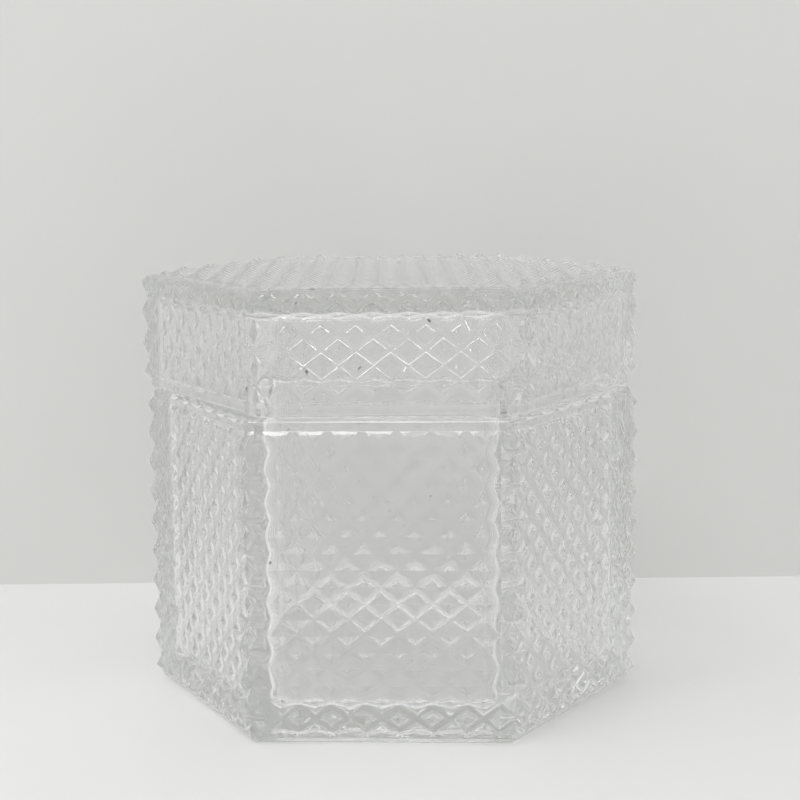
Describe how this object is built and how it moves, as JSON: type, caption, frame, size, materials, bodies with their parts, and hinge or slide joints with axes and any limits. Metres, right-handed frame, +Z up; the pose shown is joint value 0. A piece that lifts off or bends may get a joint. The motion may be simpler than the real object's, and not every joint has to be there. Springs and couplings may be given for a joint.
{
  "type": "disinfectant jar",
  "caption": "Hexagonal covered jar of clear pressed glass with diamond-point sides, a plain neck and a deep lift-off lid with a pointed top.",
  "frame": {"origin": "centre of the foot, on the surface the jar stands on", "axes": "+Z up along the jar's axis, one flat side faces -Y, two upright edges lie on the X axis"},
  "size_m": [0.12, 0.107, 0.1027],
  "materials": {
    "body_glass": "clear, fire-polished, faint grey-green tint in the thick foot",
    "lid_glass": "clear, fire-polished, faint cool grey tint in the thick edges"
  },
  "bodies": {
    "jar": {"jar_body": "body_glass"},
    "lid": {"lid": "lid_glass"}
  },
  "joints": [
    {"name": "lid_lift", "type": "slide", "parent": "jar", "child": "lid", "axis": [0, 0, 1], "range_m": [0, 0.12]}
  ]
}
